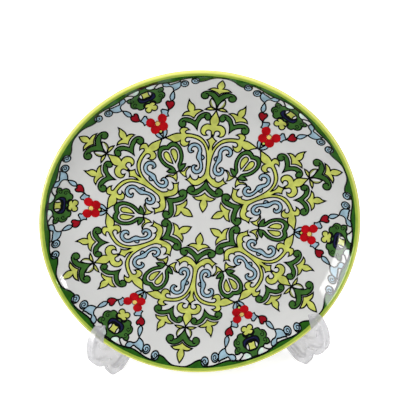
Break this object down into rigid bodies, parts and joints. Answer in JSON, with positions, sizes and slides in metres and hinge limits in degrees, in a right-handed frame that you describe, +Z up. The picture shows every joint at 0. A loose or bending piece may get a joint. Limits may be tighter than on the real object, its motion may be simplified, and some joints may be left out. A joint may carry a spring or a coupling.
{
  "type": "painted ceramic plate on display stand",
  "caption": "Round glazed ceramic display plate with painted tile-style ornament, leaning in a folding clear plastic easel whose hooked frames swing on a back hinge.",
  "frame": {"origin": "centre of the whole object's footprint at table height, under the plate", "axes": "+Z up, +X to the right as the plate is faced, +Y from the viewer to the back; the painted face looks along -Y and a little up"},
  "size_m": [0.2602, 0.0933, 0.2575],
  "materials": {
    "glazed_ceramic": "glossy glaze, off-white, painted in greens, blue and red",
    "clear_plastic": "clear polished moulding",
    "pin_steel": "satin"
  },
  "bodies": {
    "stand_left": {"stand_frame_left": "clear_plastic", "hinge_pin_upper": "pin_steel", "hinge_pin_lower": "pin_steel"},
    "stand_right": {"stand_frame_right": "clear_plastic"},
    "plate": {"plate": "glazed_ceramic"}
  },
  "joints": [
    {"name": "plate_lift", "type": "slide", "parent": "stand_left", "child": "plate", "axis": [0, 0.1822, 0.9833], "range_m": [0, 0.4]},
    {"name": "frame_fold", "type": "hinge", "parent": "stand_left", "child": "stand_right", "pos_m": [0.0015, 0.0352, 0.07], "axis": [0, 0, -1], "range_deg": [0, 100]}
  ],
  "couplings": [
    {"joint": "frame_fold", "follows": "plate_lift", "rad_per_m": 4.3633}
  ]
}
